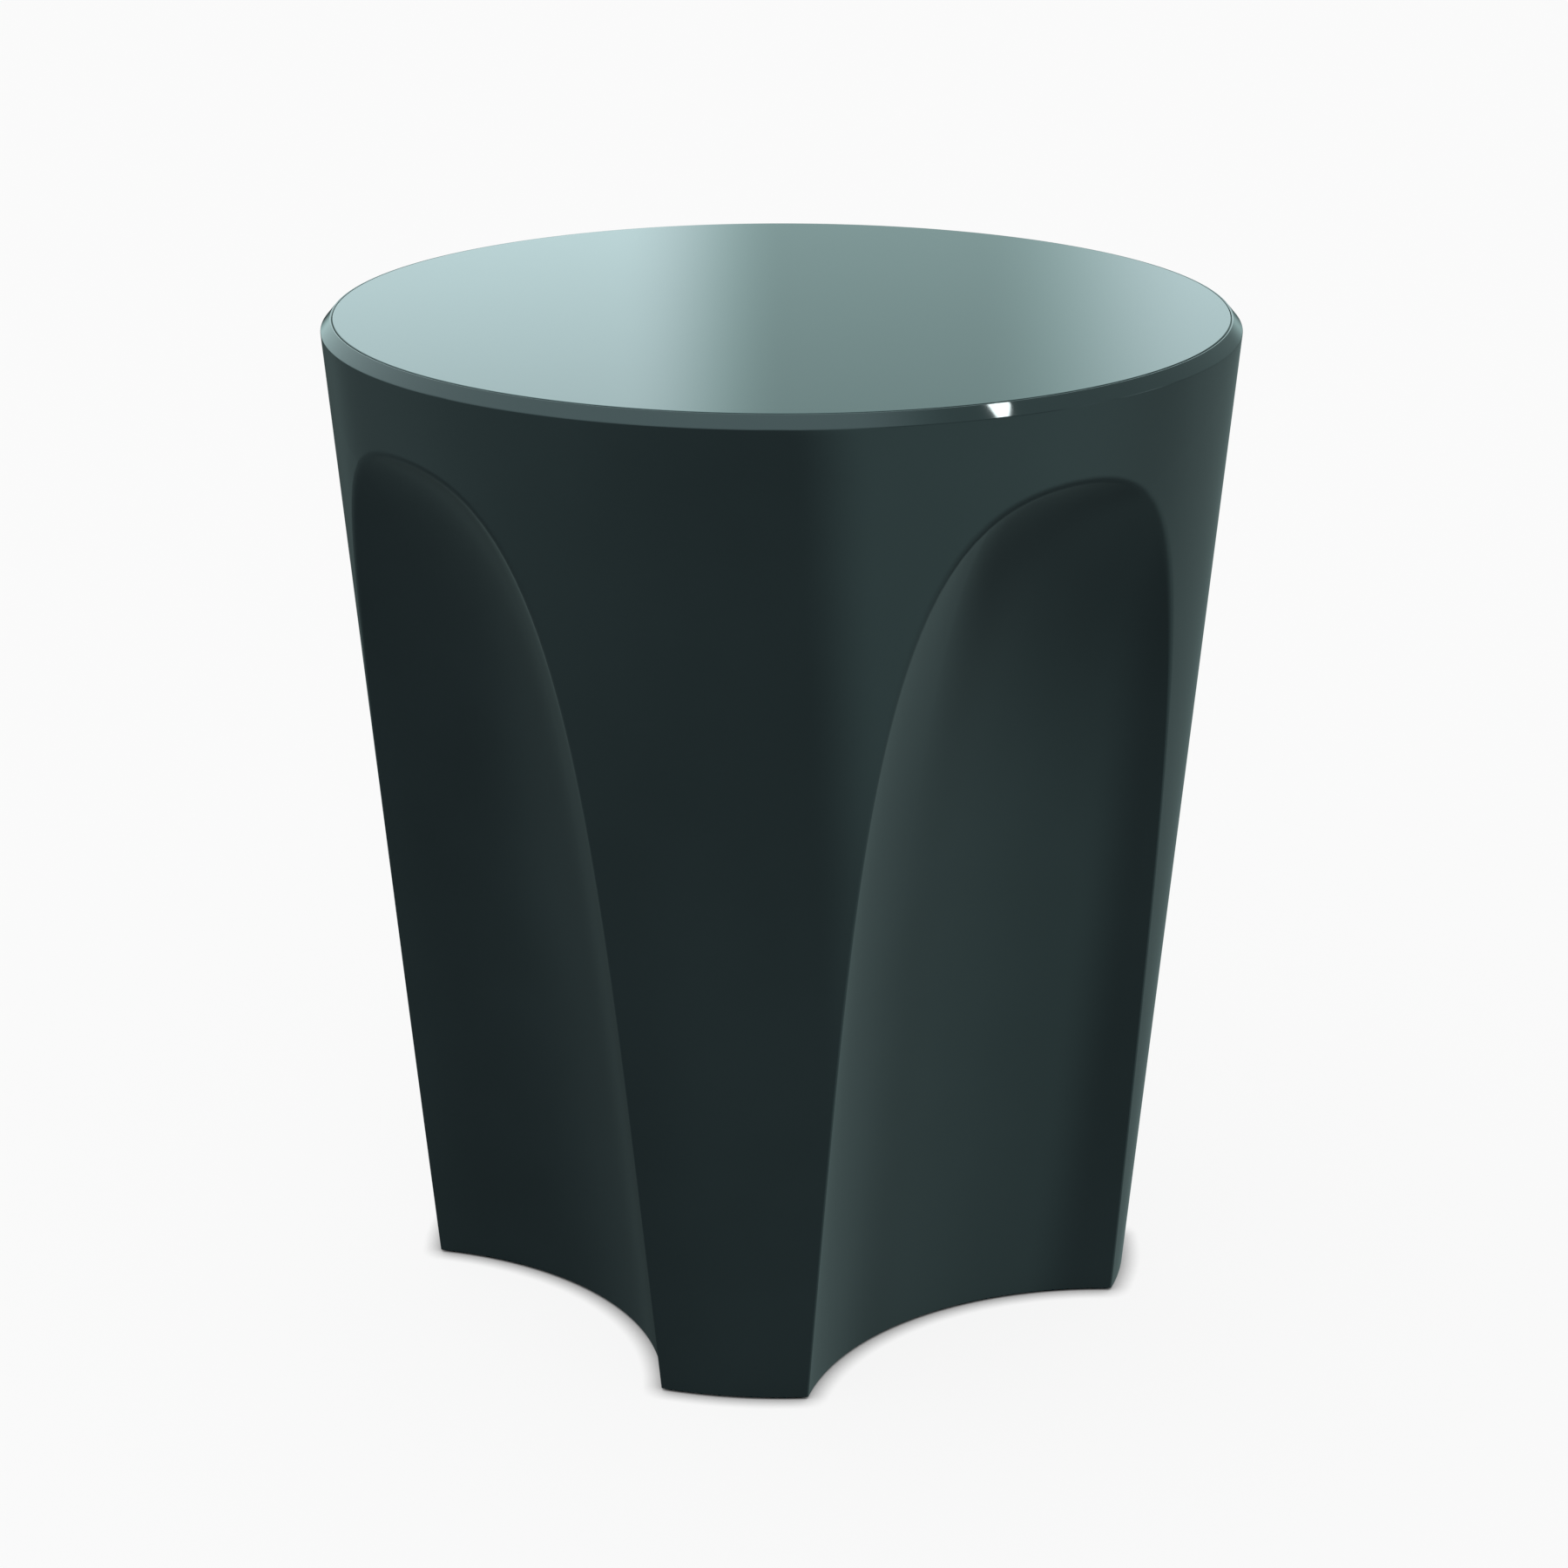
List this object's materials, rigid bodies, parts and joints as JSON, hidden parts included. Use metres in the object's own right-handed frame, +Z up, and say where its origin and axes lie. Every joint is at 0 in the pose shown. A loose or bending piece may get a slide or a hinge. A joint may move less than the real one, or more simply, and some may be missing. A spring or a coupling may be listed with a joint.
{
  "type": "drum stool",
  "caption": "Tapered drum stool or side table with arched scoops between its feet, an inset gloss top with chamfered rim, a closed base and levelling glides.",
  "frame": {"origin": "on the floor under the centre of the stool, level with the undersides of the glide pads", "axes": "+Z up along the drum's axis; the front foot points along -Y and the right foot along +X, so the scoops lie on the diagonals"},
  "size_m": [0.403, 0.403, 0.45],
  "materials": {
    "lacquer": "high-gloss dark green-black lacquer over a moulded shell",
    "top_gloss": "polished dark green disc with a mirror-like gloss",
    "plywood": "sanded birch plywood, unseen",
    "foam": "matt closed-cell foam, unseen",
    "base_board": "fine-grained black sheet",
    "beech": "planed beech, unseen",
    "zinc_steel": "bright zinc plate",
    "brass": "turned brass",
    "nylon": "moulded black nylon"
  },
  "bodies": {
    "stool": {"body_shell": "lacquer", "top_disc": "top_gloss", "support_board": "plywood", "board_gasket": "foam", "base_panel": "base_board", "board_screw_front": "zinc_steel", "foot_block_front": "beech", "base_screw_front": "zinc_steel", "glide_insert_front": "brass", "board_screw_right": "zinc_steel", "foot_block_right": "beech", "base_screw_right": "zinc_steel", "glide_insert_right": "brass", "board_screw_back": "zinc_steel", "foot_block_back": "beech", "base_screw_back": "zinc_steel", "glide_insert_back": "brass", "board_screw_left": "zinc_steel", "foot_block_left": "beech", "base_screw_left": "zinc_steel", "glide_insert_left": "brass"},
    "pad_front": {"glide_pad_front": "nylon"},
    "stem_front": {"glide_stem_front": "zinc_steel"},
    "pad_right": {"glide_pad_right": "nylon"},
    "stem_right": {"glide_stem_right": "zinc_steel"},
    "pad_back": {"glide_pad_back": "nylon"},
    "stem_back": {"glide_stem_back": "zinc_steel"},
    "pad_left": {"glide_pad_left": "nylon"},
    "stem_left": {"glide_stem_left": "zinc_steel"}
  },
  "joints": [
    {"name": "glide_travel_front", "type": "slide", "parent": "stool", "child": "pad_front", "axis": [0, 0, -1], "range_m": [0, 0.008]},
    {"name": "glide_turn_front", "type": "hinge", "parent": "pad_front", "child": "stem_front", "pos_m": [0, -0.132, 0], "axis": [0, 0, -1], "range_deg": [0, 2305]},
    {"name": "glide_travel_right", "type": "slide", "parent": "stool", "child": "pad_right", "axis": [0, 0, -1], "range_m": [0, 0.008]},
    {"name": "glide_turn_right", "type": "hinge", "parent": "pad_right", "child": "stem_right", "pos_m": [0.132, 0, 0], "axis": [0, 0, -1], "range_deg": [0, 2305]},
    {"name": "glide_travel_back", "type": "slide", "parent": "stool", "child": "pad_back", "axis": [0, 0, -1], "range_m": [0, 0.008]},
    {"name": "glide_turn_back", "type": "hinge", "parent": "pad_back", "child": "stem_back", "pos_m": [0, 0.132, 0], "axis": [0, 0, -1], "range_deg": [0, 2305]},
    {"name": "glide_travel_left", "type": "slide", "parent": "stool", "child": "pad_left", "axis": [0, 0, -1], "range_m": [0, 0.008]},
    {"name": "glide_turn_left", "type": "hinge", "parent": "pad_left", "child": "stem_left", "pos_m": [-0.132, 0, 0], "axis": [0, 0, -1], "range_deg": [0, 2305]}
  ],
  "couplings": [
    {"joint": "glide_turn_front", "follows": "glide_travel_front", "rad_per_m": 5026.5},
    {"joint": "glide_turn_right", "follows": "glide_travel_right", "rad_per_m": 5026.5},
    {"joint": "glide_turn_back", "follows": "glide_travel_back", "rad_per_m": 5026.5},
    {"joint": "glide_turn_left", "follows": "glide_travel_left", "rad_per_m": 5026.5}
  ]
}
